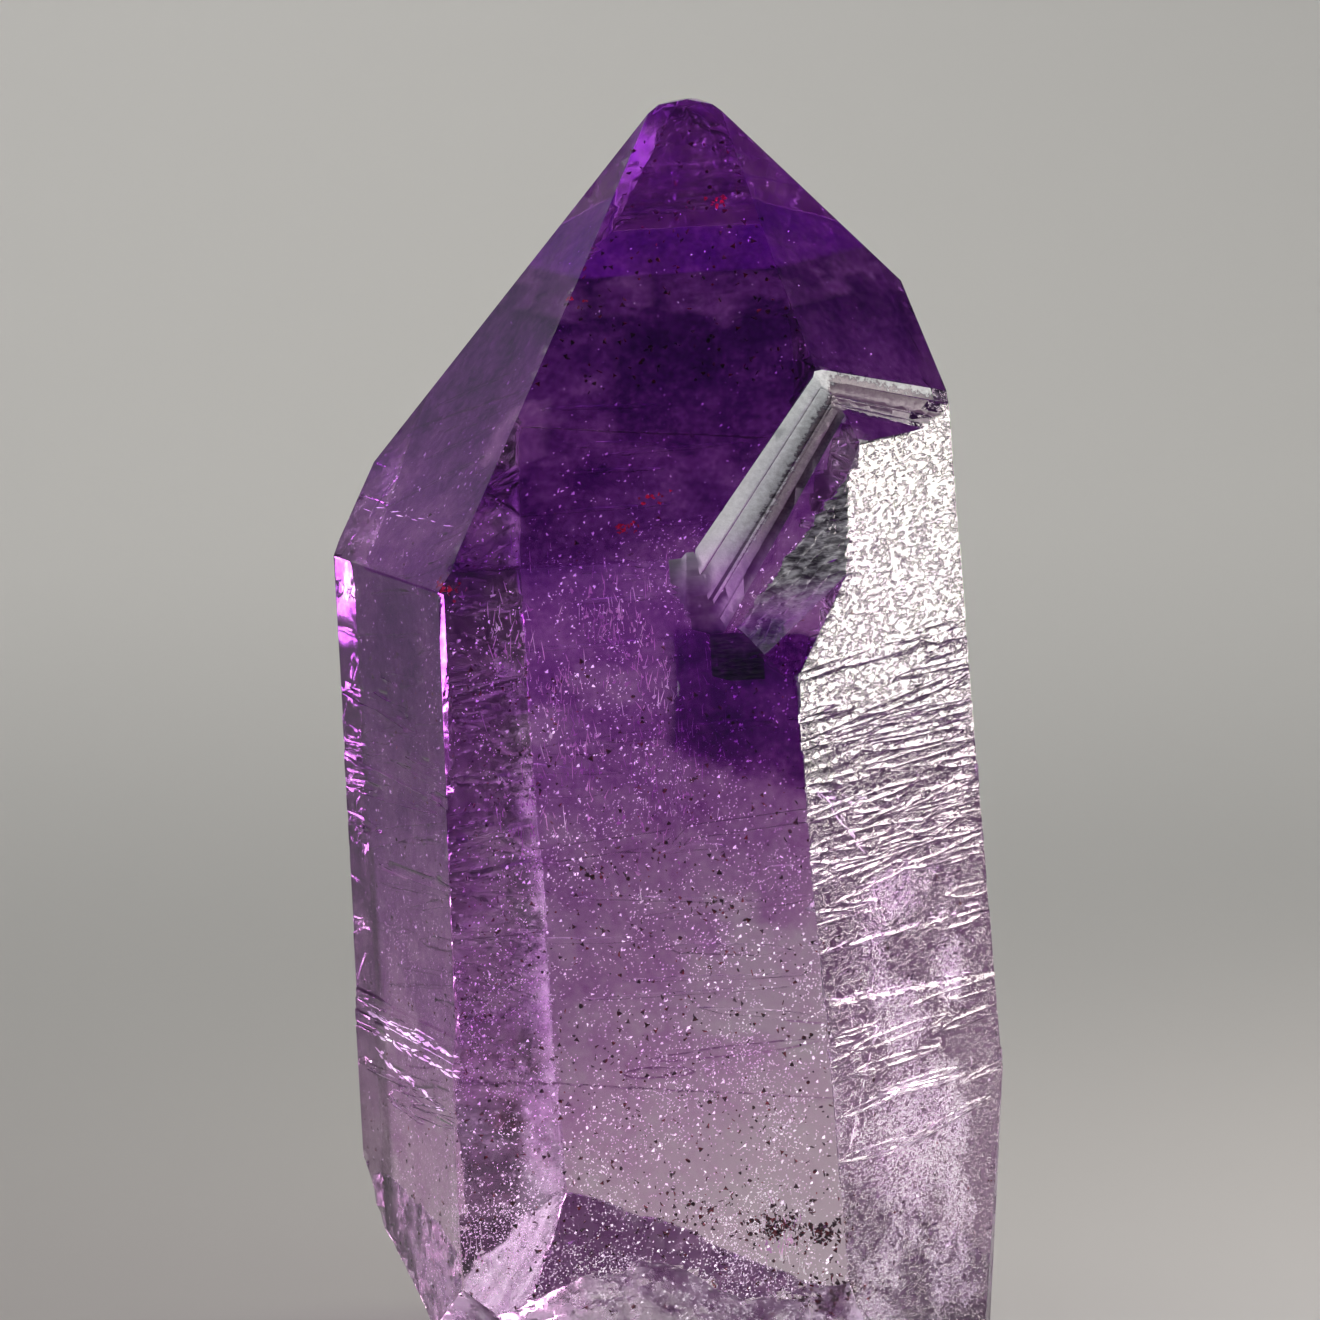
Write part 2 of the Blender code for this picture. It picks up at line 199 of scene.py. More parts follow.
def ledge_directions(point):
    """Directions along and across the ledge wall nearest to a point."""
    if abs(above(LEDGE_LEFT, point)) < abs(above(LEDGE_RIGHT, point)) + 0.02:
        run = POINT_FRONT[0].cross(LEDGE_LEFT[0]).normalized()
        return run, run.cross(LEDGE_LEFT[0]).normalized()
    run = POINT_RIGHT[0].cross(LEDGE_RIGHT[0]).normalized()
    return run, run.cross(LEDGE_RIGHT[0]).normalized()


cad_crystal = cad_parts["twin_crystal"]
bm = bmesh.new()
bm.from_mesh(cad_crystal.data)
bmesh.ops.remove_doubles(bm, verts=bm.verts[:], dist=MERGE_DISTANCE)
bmesh.ops.dissolve_limit(bm, angle_limit=FLAT_ANGLE, verts=bm.verts[:], edges=bm.edges[:])
bm.normal_update()
walls = [f for f in bm.faces if region_of(f) == SATIN]
for wall in walls:
    wall.tag = True
upright_levels = spaced(SLICE_LOW, SLICE_HIGH, SLICE_UPRIGHT)
across_levels = spaced(-SLICE_SIDE, SLICE_SIDE, SLICE_ACROSS)
main_faces = [f for f in bm.faces if not f.tag]
main_faces = slice_faces(bm, main_faces, UP, [c * MM for c in upright_levels])
bm.normal_update()
striated_faces = [f for f in main_faces if region_of(f) == STRIATED]
slice_faces(bm, striated_faces, UP, [(c + 0.5 * SLICE_UPRIGHT) * MM for c in upright_levels])
for direction in (Vector((1.0, 0.0, 0.0)), Vector((0.0, 1.0, 0.0))):
    main_faces = [f for f in bm.faces if not f.tag]
    slice_faces(bm, main_faces, direction, [c * MM for c in across_levels])
bm.normal_update()
for wall_plane, point_plane in ((LEDGE_LEFT, POINT_FRONT), (LEDGE_RIGHT, POINT_RIGHT)):
    run = point_plane[0].cross(wall_plane[0]).normalized()
    across = run.cross(wall_plane[0]).normalized()
    chosen = []
    for wall in bm.faces:
        if wall.tag and (ledge_directions(wall.calc_center_median() / MM)[0] - run).length < 1e-4:
            chosen.append(wall)
    for direction, step in ((across, LEDGE_SLICE), (run, LEDGE_RUN_SLICE)):
        levels = [v.co.dot(direction) for wall in chosen for v in wall.verts]
        chosen = slice_faces(bm, chosen, direction, spaced(min(levels), max(levels), step * MM))
bm.normal_update()

regions = {face: region_of(face) for face in bm.faces}
worked = {}
for vert in bm.verts:
    normals = [face.normal for face in vert.link_faces]
    mean = sum(normals, Vector()).normalized()
    if min(n.dot(mean) for n in normals) < SMOOTH_TURN:
        continue
    point = vert.co / MM
    kinds = {regions[face] for face in vert.link_faces}
    if kinds in ({POLISHED}, {STRIATED}):
        worked[vert] = mean * relief(point, mean)
    elif kinds == {SATIN}:
        run, across = ledge_directions(point)
        groove = noise.noise(Vector((point.dot(run) * 0.12, point.dot(across) * 3.2, 2.0)))
        worked[vert] = mean * GROOVE_DEPTH * (1.0 + groove)
    elif kinds == {BROKEN}:
        ripple = noise.noise(point * 1.1) + 0.6 * noise.noise(point * 2.6)
        worked[vert] = mean * RIPPLE_DEPTH * (1.6 + ripple)
for vert, inward in worked.items():
    if vert.co.z > FOOT_KEPT * MM:
        vert.co -= inward * MM
bmesh.ops.triangulate(bm, faces=[f for f in bm.faces if len(f.verts) > 3])
bm.normal_update()
for face in bm.faces:
    face.material_index = region_of(face)
    face.smooth = True
crystal_mesh = bpy.data.meshes.new("amethyst_crystal")
bm.to_mesh(crystal_mesh)
bm.free()
crystal_mesh.set_sharp_from_angle(angle=SHARP_ANGLE)
crystal = bpy.data.objects.new("amethyst_crystal", crystal_mesh)
bpy.context.collection.objects.link(crystal)

# Colour zones of the amethyst by level over the foot, as share of light let through.
ZONE_COLOURS = (
    (0.0, (0.97, 0.86, 0.95)),
    (9.0, (0.97, 0.76, 0.95)),
    (16.0, (0.82, 0.50, 0.84)),
    (22.0, (0.60, 0.30, 0.66)),
    (28.0, (0.42, 0.155, 0.52)),
    (34.0, (0.33, 0.095, 0.46)),
    (39.0, (0.27, 0.055, 0.41)),
    (43.0, (0.12, 0.014, 0.24)),
    (47.0, (0.036, 0.0014, 0.095)),
    (64.0, (0.036, 0.0016, 0.100)),
)
TIP_COLOUR = (0.30, 0.012, 0.85)
TIP_ZONE_LEVEL = 55.3
# A ragged paler fringe runs round under the tip.
TIP_FRINGE = 1.8
TIP_FRINGE_DEPTH = 0.42
# Patches of paler (below 1) and deeper (above 1) colour: centre, radius, strength.
PATCHES = (
    (Vector((-4.6, -9.2, 48.4)), 1.9, 0.45),
    (Vector((11.4, -9.2, 46.6)), 1.7, 0.38),
    (Vector((-6.3, -12.0, 44.0)), 1.7, 0.65),
    (Vector((-14.8, -3.2, 40.6)), 1.3, 0.35),
    (Vector((-12.5, -8.5, 37.5)), 4.0, 1.7),
    (Vector((-13.5, -4.0, 46.0)), 2.2, 0.55),
    (Vector((6.5, -13.6, 22.0)), 4.2, 0.42),
    (Vector((-0.8, -13.8, 36.4)), 1.3, 0.60),
    (Vector((-3.6, -13.6, 34.6)), 1.6, 0.62),
    (Vector((1.6, -13.6, 33.0)), 1.4, 0.66),
    (Vector((7.4, -12.0, 43.6)), 2.6, 0.85),
    (Vector((-3.2, -4.9, 54.3)), 1.7, 0.40),
    (Vector((0.4, -4.7, 54.5)), 1.3, 0.50),
    (Vector((5.4, -5.2, 53.6)), 0.9, 0.45),
)
# Deep patch under the etched wall: its left, lower and upper edges, and its strength.
DEEP_LEFT = 2.5
DEEP_LOW = 32.3
DEEP_TOP = 39.6
DEEP_STRENGTH = 2.4
# Painted shade that darkens the left prism face, and how much paler the side sectors of the point are.
LEFT_FACE_PAINTED_SHADE = 0.74
SIDE_SECTOR = 0.78
POINT_LOW = 38.0
# The front face deepens to its left, and the outermost left edge is darkened by painted shade.
FRONT_LEFT_DEPTH = 0.35
FRONT_LEFT_START, FRONT_LEFT_FULL = 3.4, 5.4
EDGE_LEFT = -14.2
LEFT_EDGE_PAINTED_SHADE = 0.25
# A surface point belongs to a face when it lies this near to it.
ON_FACE = 0.3


def fade(value, low, high):
    share = min(1.0, max(0.0, (value - low) / (high - low)))
    return share * share * (3.0 - 2.0 * share)


def zone_colour_and_shade(point):
    """Share of light let through by the crystal's surface at a point, with painted shade on the left
    prism face and its outer edge.
    """
    ragged = noise.noise(point * 0.55) + 0.5 * noise.noise(point * 1.4)
    slant = 0.55 * point.x * (1.0 - fade(point.z, 26.0, 38.0))
    level = point.z - slant + 4.5 * noise.noise(point * 0.13) + 1.2 * noise.noise(point * 0.5)
    colour = ZONE_COLOURS[0][1]
    for (low, first), (high, second) in zip(ZONE_COLOURS, ZONE_COLOURS[1:]):
        if level >= low:
            share = min(1.0, (level - low) / (high - low))
            colour = [a + (b - a) * share for a, b in zip(first, second)]
    depth = 1.0 + 0.42 * ragged + 0.14 * noise.cell(point * 0.17 + Vector((0.3, 0.0, 0.2)) * ragged)
    for centre, radius, strength in PATCHES:
        gap = (point - centre).length + 0.55 * radius * ragged
        depth *= 1.0 + (strength - 1.0) * fade(gap, radius, 0.72 * radius)
    if DEEP_LOW - 3.0 < point.z < DEEP_TOP and point.y < -12.0:
        lower = fade(point.z + 0.35 * (point.x - 5.8) + 0.8 * ragged, DEEP_LOW - 1.0, DEEP_LOW + 0.8)
        lower *= 1.0 - fade(point.z, DEEP_TOP - 1.2, DEEP_TOP)
        depth *= 1.0 + DEEP_STRENGTH * fade(point.x, DEEP_LEFT - 0.3, DEEP_LEFT + 0.3) * lower
    if abs(above(POINT_FRONT, point)) > ON_FACE and point.z > POINT_LOW:
        depth *= SIDE_SECTOR
    if abs(above(PRISM_FRONT, point)) < ON_FACE:
        depth *= 1.0 + FRONT_LEFT_DEPTH * fade(-point.x, FRONT_LEFT_START, FRONT_LEFT_FULL)
    # Painted shade: beyond this the colour is darkened evenly, damping a bright reflected strip along the
    # edge.
    if point.x < EDGE_LEFT:
        colour = [c * LEFT_EDGE_PAINTED_SHADE for c in colour]
    # Painted shade: the whole left prism face is darkened, as a side turned from the light.
    if abs(above(PRISM_LEFT, point)) < ON_FACE:
        colour = [c * LEFT_FACE_PAINTED_SHADE for c in colour]
    if point.z > TIP_ZONE_LEVEL:
        colour = TIP_COLOUR
    elif point.z > TIP_ZONE_LEVEL - TIP_FRINGE and ragged > 0.0:
        depth *= TIP_FRINGE_DEPTH
    return [c ** depth for c in colour]


zone_and_shade_values = []
drops = []
for vertex in crystal_mesh.vertices:
    place = vertex.co / MM
    zone_and_shade_values += [*zone_colour_and_shade(place), 1.0]
    drops.append(max(above(TWIN_FRONT, place), above(TWIN_RIGHT, place)))
zone_and_shade_layer = crystal_mesh.color_attributes.new("zone_colour_and_shade", "FLOAT_COLOR", "POINT")
zone_and_shade_layer.data.foreach_set("color", zone_and_shade_values)
drop_layer = crystal_mesh.attributes.new("ledge_drop", "FLOAT", "POINT")
drop_layer.data.foreach_set("value", drops)


def add_node(tree, kind, **settings):
    made = tree.nodes.new(kind)
    for name, value in settings.items():
        setattr(made, name, value)
    return made


def math_node(tree, operation, first, second=0.0, third=0.0):
    made = add_node(tree, "ShaderNodeMath", operation=operation)
    for socket, value in zip(made.inputs, (first, second, third)):
        if isinstance(value, bpy.types.NodeSocket):
            tree.links.new(value, socket)
        else:
            socket.default_value = value
    return made.outputs[0]


def ramp_node(tree, factor, stops):
    made = add_node(tree, "ShaderNodeValToRGB")
    elements = made.color_ramp.elements
    while len(elements) < len(stops):
        elements.new(0.5)
    for element, (place, colour) in zip(elements, stops):
        element.position = place
        element.color = (*colour, 1.0)
    tree.links.new(factor, made.inputs[0])
    return made.outputs[0]


def mix_colours(tree, factor, first, second, blend_type="MIX"):
    made = add_node(tree, "ShaderNodeMix", data_type="RGBA", blend_type=blend_type)
    for socket, value in ((made.inputs[0], factor), (made.inputs[6], first), (made.inputs[7], second)):
        if isinstance(value, bpy.types.NodeSocket):
            tree.links.new(value, socket)
        else:
            socket.default_value = (*value, 1.0)
    return made.outputs[2]


def noise_node(tree, vector, scale, detail, roughness, stretch=(1.0, 1.0, 1.0), turn=(0.0, 0.0, 0.0)):
    mapping = add_node(tree, "ShaderNodeMapping")
    mapping.inputs["Scale"].default_value = stretch
    mapping.inputs["Rotation"].default_value = turn
    tree.links.new(vector, mapping.inputs["Vector"])
    made = add_node(tree, "ShaderNodeTexNoise")
    made.inputs["Scale"].default_value = scale
    made.inputs["Detail"].default_value = detail
    made.inputs["Roughness"].default_value = roughness
    tree.links.new(mapping.outputs[0], made.inputs["Vector"])
    return made.outputs["Fac"]


def smooth_step(tree, value, low, high):
    made = add_node(tree, "ShaderNodeMapRange", interpolation_type="SMOOTHSTEP")
    made.inputs["From Min"].default_value = low
    made.inputs["From Max"].default_value = high
    tree.links.new(value, made.inputs["Value"])
    return made.outputs[0]


def millimetres(tree):
    """Object coordinates in millimetres."""
    place = add_node(tree, "ShaderNodeTexCoord")
    scale = add_node(tree, "ShaderNodeVectorMath", operation="SCALE")
    scale.inputs["Scale"].default_value = 1.0 / MM
    tree.links.new(place.outputs["Object"], scale.inputs[0])
    return scale.outputs[0]


def height_of(tree, spot):
    split = add_node(tree, "ShaderNodeSeparateXYZ")
    tree.links.new(spot, split.inputs[0])
    return split.outputs["Z"]


# Zone colour of the crystal, with its painted shade on the left, and a fine grain, shared by its
# materials.
zone_and_shade_group = bpy.data.node_groups.new("amethyst_zoning", "ShaderNodeTree")
for title, kind in (("Colour", "NodeSocketColor"), ("Grain", "NodeSocketFloat")):
    zone_and_shade_group.interface.new_socket(title, in_out="OUTPUT", socket_type=kind)
zoning_out = add_node(zone_and_shade_group, "NodeGroupOutput")
zones_read = add_node(zone_and_shade_group, "ShaderNodeAttribute", attribute_name="zone_colour_and_shade")
grain = noise_node(zone_and_shade_group, millimetres(zone_and_shade_group), scale=2.6, detail=1.0, roughness=0.5)
deepen = add_node(zone_and_shade_group, "ShaderNodeGamma")
zone_and_shade_group.links.new(zones_read.outputs["Color"], deepen.inputs["Color"])
zone_and_shade_group.links.new(math_node(zone_and_shade_group, "MULTIPLY_ADD", grain, 0.9, 0.55), deepen.inputs["Gamma"])
zone_and_shade_group.links.new(deepen.outputs[0], zoning_out.inputs["Colour"])
zone_and_shade_group.links.new(grain, zoning_out.inputs["Grain"])

QUARTZ_IOR = 1.544
ABSORBED = (0.84, 0.70, 0.86, 1.0)
ABSORPTION_DENSITY = 12.0
SHADOW_TINT = (0.80, 0.70, 0.82, 1.0)
BUMP_STRENGTH = 0.7


def crystal_material(name, transmission=1.0, bump_distance=0.0):
    """Quartz surface: glass with plain absorption, that lets tinted light through its shadow."""
    made = bpy.data.materials.new(name)
    made.use_nodes = True
    tree = made.node_tree
    shader = tree.nodes["Principled BSDF"]
    shader.inputs["IOR"].default_value = QUARTZ_IOR
    shader.inputs["Transmission Weight"].default_value = transmission
    shader.inputs["Metallic"].default_value = 0.0
    colour = add_node(tree, "ShaderNodeGroup", node_tree=zone_and_shade_group)
    bump = None
    if bump_distance:
        bump = add_node(tree, "ShaderNodeBump")
        bump.inputs["Distance"].default_value = bump_distance * MM
        bump.inputs["Strength"].default_value = BUMP_STRENGTH
        tree.links.new(bump.outputs[0], shader.inputs["Normal"])
    path = add_node(tree, "ShaderNodeLightPath")
    clear = add_node(tree, "ShaderNodeBsdfTransparent")
    clear.inputs["Color"].default_value = SHADOW_TINT
    choose = add_node(tree, "ShaderNodeMixShader")
    tree.links.new(path.outputs["Is Shadow Ray"], choose.inputs["Fac"])
    tree.links.new(shader.outputs[0], choose.inputs[1])
    tree.links.new(clear.outputs[0], choose.inputs[2])
    tree.links.new(choose.outputs[0], tree.nodes["Material Output"].inputs["Surface"])
    absorb = add_node(tree, "ShaderNodeVolumeAbsorption")
    absorb.inputs["Color"].default_value = ABSORBED
    absorb.inputs["Density"].default_value = ABSORPTION_DENSITY
    tree.links.new(absorb.outputs[0], tree.nodes["Material Output"].inputs["Volume"])
    return made, tree, shader, colour, bump


polished, tree, shader, colour, bump = crystal_material("amethyst_polished")
tree.links.new(colour.outputs["Colour"], shader.inputs["Base Color"])
rough = math_node(tree, "MULTIPLY_ADD", colour.outputs["Grain"], 0.10, -0.01)
tree.links.new(rough, shader.inputs["Roughness"])

# The painted sheen of the ledge, and the grey of the wall with painted shade in its hollows, fade out
# downward, between these heights.
PAINTED_SHEEN_FADE = (40.5, 44.5)
GREY_FADE = (39.0, 41.2)

ledge_sheen_material, tree, shader, colour, bump = crystal_material("satin_ledge_painted_sheen", 0.2, bump_distance=0.04)
spot = millimetres(tree)
along_ledge = (0.0, math.radians(-48.0), math.radians(20.0))
streaks = noise_node(tree, spot, 1.0, 3.0, 0.7, stretch=(0.5, 4.0, 4.0), turn=along_ledge)
drop_read = add_node(tree, "ShaderNodeAttribute", attribute_name="ledge_drop")
lowered = math_node(tree, "ADD", drop_read.outputs["Fac"], -0.35)
wander = math_node(tree, "MULTIPLY_ADD", streaks, 0.7, lowered)
# Painted sheen: silver-grey bands across the ledge, with darker lines between, stand in for light off its
# striations.
painted_sheen_bands = ramp_node(tree, math_node(tree, "MULTIPLY", wander, 0.5), (
    (0.00, (0.03, 0.008, 0.05)), (0.16, (0.09, 0.05, 0.09)), (0.29, (0.14, 0.11, 0.13)),
    (0.33, (0.03, 0.02, 0.04)), (0.37, (0.30, 0.32, 0.33)), (0.60, (0.46, 0.50, 0.51)),
    (1.00, (0.58, 0.62, 0.62)),
))
# Painted highlight: the raised streaks are mixed toward pale grey.
painted_streak_highlights = mix_colours(tree, smooth_step(tree, streaks, 0.3, 0.75), painted_sheen_bands, (0.72, 0.74, 0.74), "SOFT_LIGHT")
foot_fade = smooth_step(tree, height_of(tree, spot), *PAINTED_SHEEN_FADE)
# Below, the painted sheen gives way to the zone colour.
ledge_painted_sheen = mix_colours(tree, foot_fade, colour.outputs["Colour"], painted_streak_highlights)
tree.links.new(ledge_painted_sheen, shader.inputs["Base Color"])
tree.links.new(math_node(tree, "MULTIPLY_ADD", streaks, 0.25, 0.28), shader.inputs["Roughness"])
tree.links.new(streaks, bump.inputs["Height"])

etched, tree, shader, colour, bump = crystal_material("etched_wall", 0.35, bump_distance=0.14)
spot = millimetres(tree)
down_wall = (0.0, math.radians(35.0), 0.0)
hollows = noise_node(tree, spot, 1.3, 3.0, 0.6, stretch=(1.0, 1.0, 3.2), turn=down_wall)
# Grey of the frosted wall, with painted shade: near black where the bump's hollows lie, grey on the
# raised parts.
grey_with_painted_hollow_shade = ramp_node(tree, hollows, (
    (0.40, (0.012, 0.008, 0.02)), (0.50, (0.13, 0.13, 0.15)), (0.62, (0.46, 0.48, 0.50)),
))
grey_fade = smooth_step(tree, height_of(tree, spot), *GREY_FADE)
pits_and_painted_shade = mix_colours(tree, grey_fade, colour.outputs["Colour"], grey_with_painted_hollow_shade)
tree.links.new(pits_and_painted_shade, shader.inputs["Base Color"])
tree.links.new(math_node(tree, "MULTIPLY_ADD", hollows, 0.3, 0.2), shader.inputs["Roughness"])
tree.links.new(hollows, bump.inputs["Height"])

broken, tree, shader, colour, bump = crystal_material("broken_root", bump_distance=0.10)
shell = noise_node(tree, millimetres(tree), scale=0.9, detail=3.0, roughness=0.65)
milky = smooth_step(tree, shell, 0.4, 0.7)
pale = mix_colours(tree, milky, colour.outputs["Colour"], (0.88, 0.80, 0.88))
tree.links.new(pale, shader.inputs["Base Color"])
tree.links.new(math_node(tree, "MULTIPLY_ADD", shell, 0.40, 0.10), shader.inputs["Roughness"])
tree.links.new(shell, bump.inputs["Height"])

striated, tree, shader, colour, bump = crystal_material("striated_face", bump_distance=0.030)
tree.links.new(colour.outputs["Colour"], shader.inputs["Base Color"])
frost = noise_node(tree, millimetres(tree), 2.9, 3.0, 0.65, stretch=(0.8, 0.8, 1.8))
tree.links.new(smooth_step(tree, frost, 0.36, 0.52), bump.inputs["Height"])
tree.links.new(math_node(tree, "MULTIPLY_ADD", frost, -0.24, 0.19), shader.inputs["Roughness"])

for made in (polished, ledge_sheen_material, etched, broken, striated):
    crystal_mesh.materials.append(made)
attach(crystal, "root")
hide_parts("twin_crystal")

# Iron flecks. Dark hematite platelets frozen into the quartz, most just under the front
# face and thickest toward the root, with a scatter of them under the tip.

rng = random.Random(17)
# Clusters: centre, spread and number of plates.
FLECK_CLUSTERS = (
    (Vector((-3.9, -13.3, 33.1)), 0.35, 6),
    (Vector((5.8, -12.9, 9.1)), 0.75, 130),
    (Vector((8.2, -12.9, 8.8)), 0.50, 80),
    (Vector((8.3, -12.8, 5.5)), 0.95, 140),
    (Vector((2.0, -12.9, 9.9)), 0.70, 30),
    (Vector((-1.6, -13.3, 27.3)), 0.40, 12),
    (Vector((4.2, -13.2, 25.2)), 0.55, 16),
    (Vector((11.4, -9.6, 38.6)), 0.60, 30),
)
SCATTERED_FLECKS = 1500
TIP_FLECKS = 190
PLATE_SIDES = 6
FLECK_THICKNESS = 0.04
# Flecks this near to the front face are all kept, and one in ten of those behind.
FRONT_LAYER = -11.0
DEEP_SHARE = 0.10


def inside(point, margin):
    """Whether a point lies at least margin inside the crystal."""
    if max(above(plane, point) for plane in PRISM_FACES) > -margin:
        return False
    local = Vector(point) * MM
    hit, spot, normal, _ = crystal.closest_point_on_mesh(local)
    return hit and (local - spot).dot(normal) < -margin * MM


def platelet(bm, centre, size, thickness, sides, rng):
    """Flat crystal plate with an uneven polygon outline."""
    turn = Matrix.Rotation(rng.uniform(0, math.tau), 3, "Z")
    tilt = Vector((rng.gauss(0, 1), rng.gauss(0, 1), rng.gauss(0, 1))).normalized()
    turn = tilt.to_track_quat("Z", "Y").to_matrix() @ turn
    rings = []
    for side in (-0.5, 0.5):
        ring = []
        for step in range(sides):
            angle = math.tau * step / sides
            reach = size * 0.5 * (0.7 + 0.3 * math.cos(3.0 * angle + centre.x))
            local = Vector((math.cos(angle) * reach, math.sin(angle) * reach, side * thickness))
            ring.append(bm.verts.new((centre + turn @ local) * MM))
        rings.append(ring)
    bm.faces.new(rings[0][::-1])
    bm.faces.new(rings[1])
    for step in range(sides):
        after = (step + 1) % sides
        bm.faces.new((rings[0][step], rings[0][after], rings[1][after], rings[1][step]))


def cluster_place(centre, spread, rng):
    """Random place in a cluster that lies flat behind a face."""
    return centre + Vector((rng.gauss(0, spread), rng.gauss(0, 0.4 * spread), rng.gauss(0, 0.6 * spread)))


def inclusion_material(name, stops, scale, detail, roughness, glow=0.0):
    """Noise-tinted surface of something small in the quartz, that may give off a little light."""
    made = bpy.data.materials.new(name)
    made.use_nodes = True
    tree = made.node_tree
    shader = tree.nodes["Principled BSDF"]
    grain = noise_node(tree, millimetres(tree), scale, detail, roughness)
    tint = ramp_node(tree, grain, stops)
    tree.links.new(tint, shader.inputs["Base Color"])
    if glow:
        tree.links.new(tint, shader.inputs["Emission Color"])
        shader.inputs["Emission Strength"].default_value = glow
    return made, tree, shader, grain


def add_piece(name, bm, material):
    mesh = bpy.data.meshes.new(name)
    bm.to_mesh(mesh)
    bm.free()
    mesh.materials.append(material)
    obj = bpy.data.objects.new(name, mesh)
    bpy.context.collection.objects.link(obj)
    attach(obj, "root")


bm = bmesh.new()
for centre, spread, count in FLECK_CLUSTERS:
    for _ in range(count):
        place = cluster_place(centre, spread, rng)
        if inside(place, 0.15):
            platelet(bm, place, rng.uniform(0.14, 0.40), FLECK_THICKNESS, PLATE_SIDES, rng)
fleck_count = 0
while fleck_count < SCATTERED_FLECKS:
    place = Vector((rng.uniform(-15, 15), rng.uniform(-13.7, 13.0), 4.0 + 33.0 * rng.random() ** 1.35))
    near_front = place.y < FRONT_LAYER
    if (near_front or rng.random() < DEEP_SHARE) and inside(place, 0.15):
        size = 0.12 + 0.30 * rng.random() ** 2.2
        platelet(bm, place, size, FLECK_THICKNESS, PLATE_SIDES, rng)
        fleck_count += 1
tip_count = 0
while tip_count < TIP_FLECKS:
    place = Vector((rng.uniform(-5.0, 9.5), rng.uniform(-8.0, 2.5), rng.uniform(50.0, 61.5)))
    if above(POINT_FRONT, place) > -0.8 and inside(place, 0.10):
        platelet(bm, place, rng.uniform(0.18, 0.42), FLECK_THICKNESS, PLATE_SIDES, rng)
        tip_count += 1
hematite, tree, shader, grain = inclusion_material("hematite", (
    (0.35, (0.018, 0.004, 0.012)), (0.52, (0.06, 0.008, 0.02)), (0.62, (0.40, 0.012, 0.03)),
), scale=3.0, detail=3.0, roughness=0.6)
tree.links.new(math_node(tree, "MULTIPLY_ADD", grain, 0.4, 0.25), shader.inputs["Roughness"])
add_piece("iron_flecks", bm, hematite)

# Red flecks. Thinner plates of the same hematite, blood red with a painted glow that
# stands in for light coming through them, in a few clusters near the point.

rng = random.Random(19)
RED_CLUSTERS = (
    (Vector((4.9, -1.0, 58.4)), 0.30, 22),
    (Vector((-8.1, -13.0, 41.6)), 0.42, 26),
    (Vector((0.9, -12.4, 44.2)), 0.45, 22),
    (Vector((2.2, -11.6, 45.2)), 0.40, 16),
    (Vector((-1.7, -4.1, 54.2)), 0.30, 6),
)
RED_THICKNESS = 0.03

bm = bmesh.new()
for centre, spread, count in RED_CLUSTERS:
    for _ in range(count):
        place = cluster_place(centre, spread, rng)
        if inside(place, 0.12):
            platelet(bm, place, rng.uniform(0.16, 0.36), RED_THICKNESS, PLATE_SIDES, rng)
# Painted glow: the plates give off red light of their own, standing in for light shining through them.
red_hematite, tree, shader, grain = inclusion_material(
    "red_hematite", ((0.40, (0.16, 0.006, 0.02)), (0.60, (0.62, 0.02, 0.05))),
    scale=3.0, detail=3.0, roughness=0.6, glow=1.0,
)
tree.links.new(math_node(tree, "MULTIPLY_ADD", grain, 0.4, 0.25), shader.inputs["Roughness"])
add_piece("red_flecks", bm, red_hematite)

# Fluid bubbles. Thousands of tiny pockets along healed cracks, their white and pink
# sparkle a painted glow, that together make the lower half look milky.

rng = random.Random(29)
LOWER_BUBBLES = 3200
UPPER_BUBBLES = 260
# Bubbles this near to the front face are all kept, and one in five of those behind.
BUBBLE_LAYER = -10.5
DEEP_BUBBLE_SHARE = 0.2
# In the point they lie within this of a point face.
SHALLOW = 1.2


def bubble(bm, centre, size, rng):
    """Flattened four-sided pocket."""
    tilt = Vector((rng.gauss(0, 1), rng.gauss(0, 1), rng.gauss(0, 1))).normalized()
    side = tilt.orthogonal().normalized() * size
    ends = [centre + side, centre + tilt.cross(side), centre - side * 0.8]
    ends.append(centre + tilt * size * 0.5)
    verts = [bm.verts.new(end * MM) for end in ends]
    for a, b, c in ((0, 1, 2), (0, 3, 1), (1, 3, 2), (2, 3, 0)):
        bm.faces.new((verts[a], verts[b], verts[c]))


bm = bmesh.new()
bubble_count = 0
while bubble_count < LOWER_BUBBLES:
    place = Vector((rng.uniform(-15, 15), rng.uniform(-13.8, 13.0), 4.0 + 40.0 * rng.random() ** 1.2))
    patch = noise.noise(place * 0.21) + 0.4 * noise.noise(place * 0.7)
    kept = place.y < BUBBLE_LAYER or rng.random() < DEEP_BUBBLE_SHARE
    if patch > -0.1 and kept and inside(place, 0.12):
        bubble(bm, place, 0.045 + 0.10 * rng.random() ** 3.0, rng)
        bubble_count += 1
upper_count = 0
while upper_count < UPPER_BUBBLES:
    place = Vector((rng.uniform(-14, 12), rng.uniform(-13.0, 0.0), rng.uniform(43.0, 58.0)))
    gap = max(above(plane, place) for plane in (POINT_FRONT, POINT_RIGHT, POINT_LEFT))
    if gap > -SHALLOW and inside(place, 0.10):
        bubble(bm, place, 0.040 + 0.07 * rng.random() ** 3.0, rng)
        upper_count += 1
